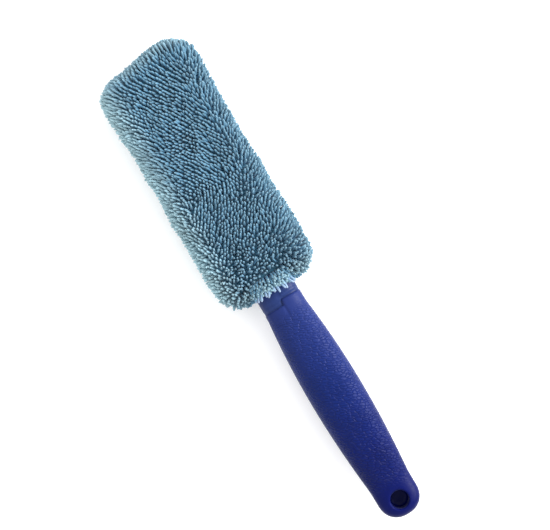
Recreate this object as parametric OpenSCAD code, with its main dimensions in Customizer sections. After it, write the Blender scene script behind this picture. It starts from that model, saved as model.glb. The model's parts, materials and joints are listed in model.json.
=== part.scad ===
/* [Overall] */
// Length of the whole brush, from the tip of the pile to the end of the handle
overall_len = 368; // [340:1:445]
// Length of the handle outside the cover
handle_len = 178; // [160:1:195]

/* [Head] */
// Width over the foam pads
pad_w = 59.8; // [56:0.2:72]
// Thickness of each foam pad over the blade
foam_t = 7.9; // [6.5:0.1:9.5]
// How far the head's tip leans forward on one side, per unit of width
tip_slant = 0.15; // [0:0.01:0.2]
// How fast the leading corner of the tip rounds off
tip_droop = 0.011; // [0:0.001:0.015]

/* [Pile and cover] */
// Standing height of the chenille pile
pile_len = 7; // [5:0.5:9]
// Thickness of the cover's backing cloth
cloth = 0.8; // [0.5:0.1:1]
// Gap between the cover and what it slides over
slip_gap = 0.3; // [0.2:0.05:0.5]
// Width of the seam allowance turned inside the cover
seam_w = 2.8; // [2:0.1:3]
// Depth of the elastic hem round the neck
hem_depth = 5; // [4:0.5:6]
// Width of the elastic inside the hem
elastic_w = 3.4; // [2.5:0.1:3.8]

/* [Paddle] */
// Thickness of the flexible blade
blade_t = 3.2; // [2.4:0.1:4]
// Thickness of the tape that holds each foam pad
tape_t = 0.4; // [0.2:0.1:0.5]
// Wall of the soft bumper round the blade's edge
bumper_wall = 1.6; // [1.2:0.1:1.8]
// Depth of the bumper's groove over the blade's edge
bumper_grip = 1.4; // [1:0.1:2]
// Width of the blade's tang
tang_w = 20; // [16:0.5:21]
// Length of the blade's tang behind the paddle
tang_len = 72; // [62:1:90]
// Radius of the blade's through holes
hole_r = 3; // [2:0.1:4]
// Radius of the pins through the tang
pin_r = 1.6; // [1.2:0.1:2]
// Distance between the two pins
pin_pitch = 12; // [10:0.5:14]

/* [Handle] */
// Width of the grip at its fullest
grip_w = 37; // [34:0.5:40]
// Thickness of the grip at its fullest
grip_t = 30; // [27:0.5:33]
// Distance of the grip's fullest part from its hanging end
belly_back = 96; // [85:1:108]
// Distance of the hanging end's straight part from its tip
waist_back = 26; // [24:1:32]
// Width of the smooth neck
neck_w = 29.6; // [28:0.2:30]
// Thickness of the smooth neck
neck_t = 20; // [16.6:0.2:24]
// Wall of the neck's sleeve
neck_wall = 2.2; // [1.6:0.1:2.6]
// Bare neck between the cover and the grip's rim
bare_neck = 6; // [4:0.5:10]
// Width of the handle at its hanging end
waist_w = 29.6; // [27:0.2:32]
// Thickness of the hanging end
eyelet_t = 16; // [14:0.5:18]
// Radius of the hanging hole
hang_r = 6.5; // [5:0.1:6.8]
// Floor left under the hanging hole, which takes a peg from the front
hang_floor = 3; // [2.5:0.5:5]
// Depth and width of the lip that rounds the hanging hole's mouth
hang_lip = 1.8; // [1:0.1:2]
// Distance of the hanging hole from the end of the handle
hang_back = 12.5; // [11.5:0.5:15]
// Wall of the soft grip over its core
grip_wall = 3.2; // [2.4:0.1:3.6]
// How far the rim's long half reaches past its short half
rim_step = 4.6; // [3:0.1:6]

/* [Hidden] */
$fn = 64;

pile_blue = [0.36, 0.50, 0.57];
cloth_blue = [0.20, 0.34, 0.42];
grip_blue = [0.12, 0.17, 0.45];
neck_blue = [0.17, 0.23, 0.46];
foam_grey = [0.82, 0.83, 0.80];
thread_pale = [0.72, 0.80, 0.84];
white_plastic = [0.90, 0.90, 0.88];

fit = 0.1;        // assembly gap between rigid pieces
sliver = 1;       // how far a cutting shape runs past what it cuts
corner_steps = 10; // segments of each rounded corner
end_steps = 7;    // segments of each rounded end
grip_sides = 48;  // sides of the handle's ovals
grip_steps = 26;  // stations along the grip
small_fn = 16;    // sides of threads
cap_angle = 86;   // where a rounded tip ends in a small flat
mouth_angle = 88; // where the cover's shoulder ends at its mouth
foam_angle = 70;  // where a foam pad's shoulder ends

// Every layer of the head is one flat core slab grown outwards by that layer's radius.
// The pads are never thinner than the neck, so that the cover's mouth clears both.
bumper_t = blade_t + 2 * tape_t;
pad_t = max(bumper_t + 2 * foam_t, neck_t - 2 * fit);
slab_h = 1;
pad_r = pad_t / 2 - slab_h;
slab_w = pad_w / 2 - pad_r;
bag_r = pad_r + slip_gap;
cloth_r = bag_r + cloth;
pile_r = cloth_r + pile_len;
head_w = 2 * (slab_w + pile_r);
head_thick = 2 * (slab_h + pile_r);

// The brush lies along Y with its head towards +Y; its middle plane is at this height.
mid_z = head_thick / 2;
tip_y = overall_len / 2;
end_y = -overall_len / 2;
handle_top = end_y + handle_len;
slab_low = handle_top + pile_r;
slab_high = tip_y - pile_r - tip_rise(slab_w);
slant_share = 0.65; // how far up the head the slant of its tip begins
slant_from = slab_low + slant_share * (slab_high - slab_low);

// Blade, bumper and tape outlines are the same slab grown less.
bumper_r = bag_r - seam_w - 2 * slip_gap;
blade_r = bumper_r - bumper_wall;
window_r = blade_r - bumper_grip;
tape_r = window_r - fit;
paddle_inset = 5; // how far the paddle's lower edge stands above the pads' shoulder
paddle_low = slab_low + paddle_inset;
hole_pitch_x = 15;
hole_pitch_y = 18;

// Neck, rim and grip stations along Y.
neck_reach = 0.5; // how far the neck runs in past the shoulder
neck_front = slab_low + neck_reach;
neck_lap = 5;     // how far the neck runs under the grip's rim
rim_long = handle_top - bare_neck;
rim_short = rim_long - rim_step;
neck_back = rim_short - neck_lap;
full_y = end_y + belly_back;
waist_y = end_y + waist_back;
hole_y = end_y + hang_back;
end_r = waist_w / 2;
end_power = 2.2;  // squareness of the rounded hanging end
rim_lip = 0.8;    // how far the rim stands out from the neck
front_w = neck_w + 2 * rim_lip;
front_t = neck_t + 2 * rim_lip;
taper_power = 1.9; // how slowly the grip thins behind its belly
bunching = 1.7;   // how closely the stations bunch at the hanging end

// The spine inside the grip, its pins and its coring pockets.
core_reach = 4;
core_back = waist_y - core_reach;
tang_back = neck_front - tang_len;
pin_setback = 8;
first_pin = neck_back - pin_setback;
pin_spots = [first_pin, first_pin - pin_pitch];
pin_cover = 1;
pocket_len = 9;
pocket_h = 6;
pocket_pitch = 13;
pocket_count = 6;
web = 3;          // half of the spine's solid middle web

// Hem and stitching.
stitch_pitch = 8;
stitch_len = 4;
thread_r = 0.3;
hem_stitch_count = 20;
hem_gap = slip_gap;
hem_play = 0.6;   // room for the elastic to move in its channel
hem_out = hem_gap + 3 * cloth + hem_play;
hem_top = slab_low - cloth_r;
channel_in = hem_gap + cloth;
channel_out = hem_out - cloth;
stitch_out = hem_out + fit + thread_r;
cuff_out = stitch_out + thread_r + fit;

function clamp(v, low, high) = max(low, min(high, v));
// How far the tip's edge stands forward at x: a straight slant whose leading corner droops
function tip_rise(x) = tip_slant * x - tip_droop * pow(max(0, x - slab_w / 2), 2);
function lean(p) = p[1] + tip_rise(p[0]) * clamp((p[1] - slant_from) / (slab_high - slant_from), 0, 1);

// ---- outlines ----

// Plan outline of the slab grown by r, cut straight at y = low
function plan(r, low, half = slab_w) = [
    [-half - r, low], [half + r, low], [half + r, slant_from],
    for (i = [0 : corner_steps])
        let (a = 90 * i / corner_steps, p = [half + r * cos(a), slab_high + r * sin(a)])
            [p[0], p[1] + tip_rise(p[0])],
    for (i = [0 : corner_steps])
        let (a = 90 + 90 * i / corner_steps, p = [-half + r * cos(a), slab_high + r * sin(a)])
            [p[0], p[1] + tip_rise(p[0])],
    [-half - r, slant_from]
];

// An oval with slightly square shoulders, in the plane across the handle
function oval(w, t, sides = grip_sides, power = 2.4) = [
    for (i = [0 : sides - 1])
        let (a = 360 * i / sides)
            [w / 2 * sign(cos(a)) * pow(abs(cos(a)), 2 / power),
             t / 2 * sign(sin(a)) * pow(abs(sin(a)), 2 / power)]
];

// Half of the slab's cross-section grown by r and drawn in by inset, from +X over the top to -X
function half_ring(r, inset) =
    let (turn = r - inset)
        [
            [slab_w + turn, 0],
            for (i = [0 : corner_steps])
                let (a = 90 * i / corner_steps) [slab_w + turn * cos(a), slab_h + turn * sin(a)],
            for (i = [0 : corner_steps])
                let (a = 90 + 90 * i / corner_steps) [-slab_w + turn * cos(a), slab_h + turn * sin(a)],
            [-slab_w - turn, 0]
        ];

// Stations [y, inset] of a layer of radius r: a straight run, then the rounded tip
function tip_stations(r, low) = [
    [low, 0],
    [slant_from, 0],
    for (i = [0 : end_steps])
        let (a = cap_angle * i / end_steps) [slab_high + r * sin(a), r * (1 - cos(a))]
];

// Stations of the rounded shoulder that closes towards the neck, from the mouth outwards
function shoulder_stations(r, angle) = [
    for (i = [0 : end_steps])
        let (a = angle * (1 - i / end_steps)) [slab_low - r * sin(a), r * (1 - cos(a))]
];

// ---- solids from rings ----

// side is 1 for the upper half and -1 for the lower half
function placed(ring, y, side) = [for (p = ring) let (q = [p[0], y]) [p[0], lean(q), mid_z + side * p[1]]];

function strip(a, b, count, flip) = [
    for (i = [0 : count - 2])
        flip ? [a + i, b + i, b + i + 1, a + i + 1] : [a + i, a + i + 1, b + i + 1, b + i]
];

// A half shell between an outer and an inner stack of rings; closed says whether its far end is capped
module half_shell(outer, inner, side, closed) {
    rows = len(outer);
    n = len(outer[0]);
    points = [for (row = outer) each row, for (row = inner) each row];
    up = side > 0;
    inside = rows * n;
    last = (rows - 1) * n;
    faces = [
        for (k = [0 : rows - 2]) each strip(k * n, (k + 1) * n, n, !up),
        for (k = [0 : rows - 2]) each strip(inside + k * n, inside + (k + 1) * n, n, up),
        each strip(0, inside, n, up),
        if (!closed) each strip(last, inside + last, n, !up),
        for (k = [0 : rows - 2]) let (o = k * n, m = (k + 1) * n)
            up ? [o, m, inside + m, inside + o] : [o, inside + o, inside + m, m],
        for (k = [0 : rows - 2]) let (o = k * n + n - 1, m = (k + 1) * n + n - 1)
            up ? [o, inside + o, inside + m, m] : [o, m, inside + m, inside + o],
        if (closed) up ? [for (i = [0 : n - 1]) last + i] : [for (i = [n - 1 : -1 : 0]) last + i],
        if (closed) up ? [for (i = [n - 1 : -1 : 0]) inside + last + i]
                       : [for (i = [0 : n - 1]) inside + last + i],
        if (closed) let (o = last, q = last + n - 1)
            up ? [o, q, inside + q, inside + o] : [o, inside + o, inside + q, q]
    ];
    polyhedron(points, faces, convexity = 8);
}

// A solid through a stack of closed rings of equal length, with flat ends
module loft(rings) {
    rows = len(rings);
    n = len(rings[0]);
    polyhedron([for (row = rings) each row], [
        for (k = [0 : rows - 2], i = [0 : n - 1])
            let (j = (i + 1) % n) [k * n + j, k * n + i, (k + 1) * n + i, (k + 1) * n + j],
        [for (i = [0 : n - 1]) i],
        [for (i = [n - 1 : -1 : 0]) (rows - 1) * n + i]
    ], convexity = 4);
}

// A straight prism of a plan outline, centred on the middle plane
module slab(outline, thick) {
    translate([0, 0, mid_z - thick / 2])
        linear_extrude(thick) polygon(outline);
}

// A straight oval bar along Y
module oval_bar(w, t, low, high) {
    translate([0, high, mid_z])
        rotate([90, 0, 0])
            linear_extrude(high - low) polygon(oval(w, t));
}

// A ring round the neck, between two distances out from its surface
module neck_band(inner, outer, low, high) {
    difference() {
        oval_bar(neck_w + 2 * outer, neck_t + 2 * outer, low, high);
        oval_bar(neck_w + 2 * inner, neck_t + 2 * inner, low - sliver, high + sliver);
    }
}

// A block between two opposite corners
module box(low, high) {
    translate(low) cube(high - low);
}

// ---- handle ----

function ahead(y) = (y - full_y) / (neck_back - full_y);
function behind(y) = (full_y - y) / (full_y - waist_y);
function swell(y, full, front, waist) =
    y > full_y ? full - (full - front) * pow(ahead(min(y, neck_back)), 2)
               : full - (full - waist) * pow(min(behind(y), 1), taper_power);
// The rounded end of the handle, as a share of its section
function end_round(y, r) =
    y > end_y + r ? 1 : pow(max(0, 1 - pow((end_y + r - y) / r, end_power)), 1 / end_power);
function grip_ring(y, inset) =
    let (
        w = swell(y, grip_w, front_w, waist_w) * end_round(y, end_r) - 2 * inset,
        t = swell(y, grip_t, front_t, eyelet_t) * end_round(y, eyelet_t / 2) - 2 * inset
    )
        [for (p = oval(w, t)) [p[0], y, mid_z - p[1]]];
// Rings bunch up where the end rounds off
function grip_rings(back, front, inset) = [
    for (i = [0 : grip_steps])
        let (u = i / grip_steps, share = back > end_y ? u : pow(u, bunching))
            grip_ring(back + (front - back) * share, inset)
];

// A round peg hole, sunk from the front face and opening out to a wider mouth
module hanging_hole() {
    face = mid_z + eyelet_t / 2;
    translate([0, hole_y, 0]) {
        translate([0, 0, mid_z - eyelet_t / 2 + hang_floor]) cylinder(r = hang_r, h = head_thick);
        translate([0, 0, face - hang_lip])
            cylinder(r1 = hang_r, r2 = hang_r + hang_lip, h = hang_lip + fit);
    }
}

module tang_slot() {
    box([-tang_w / 2 - fit, tang_back - fit, mid_z - blade_t / 2 - fit],
        [tang_w / 2 + fit, neck_front + sliver, mid_z + blade_t / 2 + fit]);
}

module pin_holes(r) {
    for (y = pin_spots)
        translate([0, y, mid_z]) cylinder(r = r, h = head_thick, center = true);
}

module handle_core() {
    nose_gap = 2 * (neck_wall + fit);
    color("white")
        difference() {
            union() {
                loft(grip_rings(core_back, neck_back - fit, grip_wall + fit));
                oval_bar(neck_w - nose_gap, neck_t - nose_gap, neck_back - sliver, neck_front);
            }
            tang_slot();
            pin_holes(pin_r + fit / 2);
            core_pockets();
        }
}

// Coring pockets that keep the moulding's walls even
module core_pockets() {
    for (k = [0 : pocket_count - 1], side = [-1, 1]) {
        y = tang_back - pocket_pitch * (k + 1);
        box([side > 0 ? web : -head_w, y, mid_z - pocket_h / 2],
            [side > 0 ? head_w : -web, y + pocket_len, mid_z + pocket_h / 2]);
    }
}

module grip_shell() {
    color(grip_blue)
        difference() {
            loft(grip_rings(end_y, rim_long, 0));
            loft(grip_rings(core_back - fit, neck_back, grip_wall));
            oval_bar(neck_w + 2 * fit, neck_t + 2 * fit, neck_back - fit, rim_long + sliver);
            box([-head_w, rim_short, 0], [0, rim_long + sliver, head_thick]);
            hanging_hole();
        }
}

module neck_ferrule() {
    color(neck_blue) neck_band(-neck_wall, 0, neck_back, neck_front);
}

// Each pin stops short of the grip that covers it
function pin_length(y) = swell(y + pin_r, grip_t, front_t, eyelet_t) - 2 * (grip_wall + fit + pin_cover);

module tang_pins() {
    color("silver")
        for (y = pin_spots)
            translate([0, y, mid_z]) cylinder(r = pin_r, h = pin_length(y), center = true);
}

// ---- paddle ----

// Staggered rows of holes that let the blade bend
module blade_holes() {
    first = paddle_low + hole_pitch_y;
    rows = floor((slab_high - first) / (hole_pitch_y / 2));
    for (k = [0 : rows - 1], i = [-1 : 1]) {
        x = (i + (k % 2 == 0 ? 0 : 0.5)) * hole_pitch_x;
        if (abs(x) + hole_r < slab_w)
            translate([x, first + k * hole_pitch_y / 2, 0]) cylinder(r = hole_r, h = head_thick);
    }
}

module blade() {
    color(white_plastic)
        difference() {
            union() {
                slab(plan(blade_r, paddle_low), blade_t);
                box([-tang_w / 2, tang_back, mid_z - blade_t / 2],
                    [tang_w / 2, paddle_low + sliver, mid_z + blade_t / 2]);
            }
            blade_holes();
            pin_holes(pin_r + fit / 2);
        }
}

module edge_bumper() {
    color("dimgray")
        difference() {
            slab(plan(bumper_r, paddle_low), bumper_t);
            slab(plan(window_r, paddle_low - sliver), bumper_t + sliver);
            slab(plan(blade_r, paddle_low - sliver), blade_t);
        }
}

module tape(side) {
    color("khaki")
        translate([0, 0, side * (blade_t + tape_t) / 2])
            difference() {
                slab(plan(tape_r, paddle_low), tape_t);
                blade_holes();
            }
}

module tape_front() { tape(1); }
module tape_back() { tape(-1); }

// A foam sheet, full width, notched round the neck
module foam(side) {
    base = bumper_t / 2;
    notch = neck_w / 2 + fit;
    low = slab_low - pad_r;
    color(foam_grey)
        difference() {
            foam_form(side);
            box([-head_w, low, mid_z - base], [head_w, tip_y + sliver, mid_z + base]);
            box([-notch, low, 0], [notch, neck_front + fit, head_thick]);
        }
}

module foam_form(side) {
    stations = [
        for (s = shoulder_stations(pad_r, foam_angle)) s,
        for (s = tip_stations(pad_r, slab_low + sliver)) s
    ];
    rings = [for (s = stations) placed(half_ring(pad_r, s[1]), s[0], side)];
    rows = len(rings);
    n = len(rings[0]);
    up = side > 0;
    polyhedron([for (row = rings) each row], [
        for (k = [0 : rows - 2]) each strip(k * n, (k + 1) * n, n, !up),
        for (k = [0 : rows - 2]) let (a = k * n, b = (k + 1) * n)
            up ? [a, b, b + n - 1, a + n - 1] : [a, a + n - 1, b + n - 1, b],
        up ? [for (i = [n - 1 : -1 : 0]) i] : [for (i = [0 : n - 1]) i],
        up ? [for (i = [0 : n - 1]) (rows - 1) * n + i] : [for (i = [n - 1 : -1 : 0]) (rows - 1) * n + i]
    ], convexity = 4);
}

module foam_front() { foam(1); }
module foam_back() { foam(-1); }

// ---- cover ----

function rings_of(r, stations, side) = [for (s = stations) placed(half_ring(r, s[1]), s[0], side)];

// One layer of the cover over the straight part and tip of the head
module cover_layer(outer_r, inner_r, side) {
    half_shell(rings_of(outer_r, tip_stations(outer_r, slab_low), side),
               rings_of(inner_r, tip_stations(inner_r, slab_low), side), side, true);
}

// One layer of the cover where it rounds in to the neck
module shoulder_layer(outer_r, inner_r, side, mouth_gap) {
    w = neck_w + 2 * mouth_gap;
    t = neck_t + 2 * mouth_gap;
    low = slab_low - outer_r;
    difference() {
        half_shell(rings_of(outer_r, shoulder_stations(outer_r, mouth_angle), side),
                   rings_of(inner_r, shoulder_stations(inner_r, mouth_angle), side), side, false);
        oval_bar(w, t, low - sliver, slab_low + sliver);
    }
}

module panel_front() { color(cloth_blue) cover_layer(cloth_r, bag_r, 1); }
module panel_back() { color(cloth_blue) cover_layer(cloth_r, bag_r, -1); }
module pile_front() { color(pile_blue) cover_layer(pile_r, cloth_r, 1); }
module pile_back() { color(pile_blue) cover_layer(pile_r, cloth_r, -1); }

module seam_allowance() {
    color(cloth_blue)
        difference() {
            slab(plan(bag_r - slip_gap, slab_low), 2 * cloth);
            slab(plan(bag_r - seam_w, slab_low - sliver), 4 * cloth);
        }
}

// Running stitches along both long edges of the seam allowance
module seam_stitches() {
    x = slab_w + bag_r - seam_w / 2;
    count = floor((slab_high - slab_low) / stitch_pitch);
    color(thread_pale)
        for (side = [-1, 1], face = [-1, 1], k = [0 : count - 1])
            translate([side * x, slab_low + stitch_pitch * (k + 0.5), mid_z + face * (cloth + thread_r)])
                rotate([90, 0, 0]) cylinder(r = thread_r, h = stitch_len, center = true, $fn = small_fn);
}

module cuff_front() { color(cloth_blue) shoulder_layer(cloth_r, bag_r, 1, hem_gap); }
module cuff_back() { color(cloth_blue) shoulder_layer(cloth_r, bag_r, -1, hem_gap); }
module cuff_pile_front() { color(pile_blue) shoulder_layer(pile_r, cloth_r, 1, cuff_out); }
module cuff_pile_back() { color(pile_blue) shoulder_layer(pile_r, cloth_r, -1, cuff_out); }

// The folded cloth channel that holds the elastic
module hem_tape() {
    low = hem_top - hem_depth;
    color(cloth_blue)
        difference() {
            neck_band(hem_gap, hem_out, low, hem_top - fit);
            neck_band(channel_in, channel_out, low + cloth, hem_top);
        }
}

module hem_elastic() {
    low = hem_top - hem_depth + cloth + fit;
    color(thread_pale)
        neck_band(channel_in + fit, channel_out - fit, low, low + elastic_w);
}

// Short stitches round the outside of the hem
module hem_stitches() {
    y = hem_top - hem_depth + cloth / 2;
    color(thread_pale)
        for (p = oval(neck_w + 2 * stitch_out, neck_t + 2 * stitch_out, hem_stitch_count))
            translate([p[0], y + stitch_len / 4, mid_z + p[1]])
                rotate([90, 0, 0])
                    cylinder(r = thread_r, h = stitch_len / 2, center = true, $fn = small_fn);
}

handle_core();
grip_shell();
neck_ferrule();
tang_pins();
blade();
edge_bumper();
tape_front();
tape_back();
foam_front();
foam_back();
panel_front();
panel_back();
seam_allowance();
seam_stitches();
pile_front();
pile_back();
cuff_front();
cuff_back();
cuff_pile_front();
cuff_pile_back();
hem_tape();
hem_elastic();
hem_stitches();
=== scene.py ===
"""Looks for the chenille wheel brush: pile, cloth, foam, grip and their materials, around the CAD frame."""
import json
import math

import bpy
import numpy as np
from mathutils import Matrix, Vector


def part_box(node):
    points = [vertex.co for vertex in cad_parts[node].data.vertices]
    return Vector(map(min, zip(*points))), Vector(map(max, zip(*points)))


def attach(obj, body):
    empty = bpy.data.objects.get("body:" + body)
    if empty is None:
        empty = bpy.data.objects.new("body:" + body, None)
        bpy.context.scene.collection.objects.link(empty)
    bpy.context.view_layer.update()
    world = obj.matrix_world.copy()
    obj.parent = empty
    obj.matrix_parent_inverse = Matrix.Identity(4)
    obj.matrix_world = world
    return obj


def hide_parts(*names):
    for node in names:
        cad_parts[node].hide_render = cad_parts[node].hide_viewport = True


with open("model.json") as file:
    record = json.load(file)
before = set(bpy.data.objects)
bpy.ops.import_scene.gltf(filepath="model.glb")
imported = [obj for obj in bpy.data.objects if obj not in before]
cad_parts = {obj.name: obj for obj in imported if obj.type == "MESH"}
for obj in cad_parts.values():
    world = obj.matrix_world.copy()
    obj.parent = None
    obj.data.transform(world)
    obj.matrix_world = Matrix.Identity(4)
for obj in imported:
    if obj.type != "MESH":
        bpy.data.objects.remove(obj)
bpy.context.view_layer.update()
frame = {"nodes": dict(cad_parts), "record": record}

MM = 0.001
RANDOM = np.random.default_rng(7)

# ---------------------------------------------------------------- sizes, from the frame

PILE_LOW, PILE_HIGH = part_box("pile_front")
CLOTH_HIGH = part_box("panel_front")[1]
FOAM_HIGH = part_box("foam_front")[1]
GRIP_LOW, GRIP_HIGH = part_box("grip_shell")
NECK_LOW, NECK_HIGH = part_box("neck_ferrule")
HEM_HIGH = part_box("hem_tape")[1]
HOLE = next(m for m in frame["record"]["mounts"] if m["name"] == "hanging_hole")

MID_Z = PILE_LOW.z                     # the middle plane, where the front half's pile begins
SLAB_H = 1 * MM                        # half the height of the head's core slab
TIP_SLANT = 0.15                       # how far the tip leans forward per unit of X
TIP_DROOP = 11.0                       # how fast the leading corner rounds off, per metre
SLANT_SHARE = 0.65                     # where along the head the slant begins
PILE_R = PILE_HIGH.z - MID_Z - SLAB_H  # radius of each layer round the slab
SLAB_W = PILE_HIGH.x - PILE_R          # half the slab's width
CLOTH_R = CLOTH_HIGH.x - SLAB_W
FOAM_R = FOAM_HIGH.x - SLAB_W
CLOTH_T = 0.8 * MM
PILE_LEN = PILE_R - CLOTH_R
SLAB_LOW = PILE_LOW.y
TIP_REACH = TIP_SLANT * SLAB_W - TIP_DROOP * (SLAB_W / 2) ** 2
SLAB_HIGH = PILE_HIGH.y - PILE_R - TIP_REACH
SLANT_FROM = SLAB_LOW + SLANT_SHARE * (SLAB_HIGH - SLAB_LOW)
HEM_OUT = HEM_HIGH.x - NECK_HIGH.x     # how far the hem stands out from the neck
OVAL_POWER = 2.4                       # the handle's ovals are a little squarer than ellipses
NECK_W = NECK_HIGH.x - NECK_LOW.x
NECK_T = NECK_HIGH.z - NECK_LOW.z
GRIP_W = GRIP_HIGH.x - GRIP_LOW.x
GRIP_T = GRIP_HIGH.z - GRIP_LOW.z


def smooth(x, low=0.0, high=1.0):
    """A smooth step from 0 at low to 1 at high."""
    t = np.clip((x - low) / (high - low), 0, 1)
    return t * t * (3 - 2 * t)


def bell(x, width):
    """A smooth bump of height 1 round x = 0."""
    return np.exp(-(x / width) ** 2)


def leaned(points):
    """Moves points of the head along Y so that its tip slants, with a drooping leading corner."""
    out = points.copy()
    x = points[..., 0]
    share = np.clip((points[..., 1] - SLANT_FROM) / (SLAB_HIGH - SLANT_FROM), 0, 1)
    out[..., 1] += (TIP_SLANT * x - TIP_DROOP * np.maximum(0, x - SLAB_W / 2) ** 2) * share
    return out


def waves(points, scale, seed, count=7):
    """Smooth noise from a few sine waves, about -1 to 1; scale is the size of its features in metres."""
    draw = np.random.default_rng(seed)
    total = np.zeros(points.shape[:-1])
    for _ in range(count):
        direction = draw.normal(size=3)
        direction /= np.linalg.norm(direction)
        pitch = 2 * math.pi / scale * draw.uniform(0.6, 1.5)
        total += np.sin(points @ direction * pitch + draw.uniform(0, 7))
    return total / math.sqrt(count / 2) / 1.6


# ---------------------------------------------------------------- mesh helpers

def mesh_object(name, points, groups, smooth_faces=True):
    """A new object from points and several arrays of faces, each array with its own face length."""
    mesh = bpy.data.meshes.new(name)
    counts = [len(g) for g in groups]
    sizes = [g.shape[1] for g in groups]
    totals = np.repeat(sizes, counts)
    corners = np.concatenate([g.ravel() for g in groups])
    mesh.vertices.add(len(points))
    mesh.vertices.foreach_set("co", np.ascontiguousarray(points, np.float32).ravel())
    mesh.loops.add(len(corners))
    mesh.loops.foreach_set("vertex_index", corners.astype(np.int32))
    mesh.polygons.add(len(totals))
    starts = np.concatenate([[0], np.cumsum(totals)[:-1]])
    mesh.polygons.foreach_set("loop_start", starts.astype(np.int32))
    mesh.polygons.foreach_set("loop_total", totals.astype(np.int32))
    mesh.polygons.foreach_set("use_smooth", np.full(len(totals), smooth_faces))
    mesh.update(calc_edges=True)
    mesh.validate()
    obj = bpy.data.objects.new(name, mesh)
    bpy.context.scene.collection.objects.link(obj)
    return obj


def ring_faces(rows, around):
    """Quads between rows of points that each close round on themselves."""
    k, i = np.meshgrid(np.arange(rows - 1), np.arange(around), indexing="ij")
    j = (i + 1) % around
    quads = np.stack([k * around + i, k * around + j, (k + 1) * around + j, (k + 1) * around + i], -1)
    return quads.reshape(-1, 4)


def capped_loft(name, rings):
    """A closed solid through a stack of rings, an array of rows x around x 3."""
    rows, around, _ = rings.shape
    ends = np.array([rings[0].mean(0), rings[-1].mean(0)])
    points = np.concatenate([rings.reshape(-1, 3), ends])
    first, last = rows * around, rows * around + 1
    i = np.arange(around)
    j = (i + 1) % around
    caps = np.concatenate([
        np.stack([j, i, np.full(around, first)], -1),
        np.stack([(rows - 1) * around + i, (rows - 1) * around + j, np.full(around, last)], -1),
    ])
    return mesh_object(name, points, [ring_faces(rows, around), caps])


def apply_modifiers(obj):
    """Bakes an object's modifiers into its mesh."""
    bpy.context.view_layer.update()
    done = bpy.data.meshes.new_from_object(obj.evaluated_get(bpy.context.evaluated_depsgraph_get()))
    old = obj.data
    obj.modifiers.clear()
    obj.data = done
    bpy.data.meshes.remove(old)


def shade_smooth(obj):
    """Shades every face of a piece smooth."""
    obj.data.polygons.foreach_set("use_smooth", np.ones(len(obj.data.polygons), bool))


def point_array(obj):
    """A piece's points as an array."""
    co = np.empty(len(obj.data.vertices) * 3, np.float32)
    obj.data.vertices.foreach_get("co", co)
    return co.reshape(-1, 3).astype(float)


def set_points(obj, points):
    """Moves a piece's points to those of an array."""
    obj.data.vertices.foreach_set("co", np.ascontiguousarray(points, np.float32).ravel())
    obj.data.update()


# ---------------------------------------------------------------- the head's layers

def head_directions(along, around):
    """Unit directions off the slab: along is the end angle, -90 to 90 degrees, and around is the angle from
    +X over the top."""
    return np.stack([np.cos(around) * np.cos(along), np.sin(along) * np.ones_like(around),
                     np.sin(around) * np.cos(along)], -1)


def head_stations(low_angle, high_angle, steps, ends):
    """Places along Y with their end angles: the shoulder, the straight run, then the tip."""
    low = [(SLAB_LOW, math.radians(a)) for a in np.linspace(low_angle, 0, ends, endpoint=False)]
    run = [(y, 0.0) for y in np.linspace(SLAB_LOW, SLAB_HIGH, steps)]
    high = [(SLAB_HIGH, math.radians(a)) for a in np.linspace(0, high_angle, ends + 1)[1:]]
    return low + run + high


WIDER = 0.012  # changes of the head's width, as shares of it
TIP_FLARE = 0.030
WAIST_DIP = 0.030
SHOULDER_DIP = 0.030
TIP_CLOSE = 0.055


def head_waist(points):
    """The head's own outline: a little wider near the tip, pulled in above the middle and at both ends."""
    y = (points[..., 1] - SLAB_LOW) / (SLAB_HIGH - SLAB_LOW)
    share = WIDER + TIP_FLARE * smooth(y, 0.76, 0.96) - WAIST_DIP * bell(y - 0.62, 0.15)
    share -= SHOULDER_DIP * (1 - smooth(y, -0.08, 0.12)) + TIP_CLOSE * smooth(y, 0.96, 1.10)
    out = points.copy()
    out[..., 0] *= 1 + share
    return out


def lumps(points):
    """How far the padded head stands proud or sinks, in metres."""
    return 0.45 * MM * waves(points, 38 * MM, 11) + 0.2 * MM * waves(points, 15 * MM, 12)


def head_shape(points, directions):
    """Puts points of a head layer in their place; they come with their middle plane at z = 0."""
    shaped = head_waist(points) + directions * lumps(points)[..., None]
    shaped = leaned(shaped)
    shaped[..., 2] += MID_Z
    return shaped


# ---------------------------------------------------------------- materials

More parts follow.
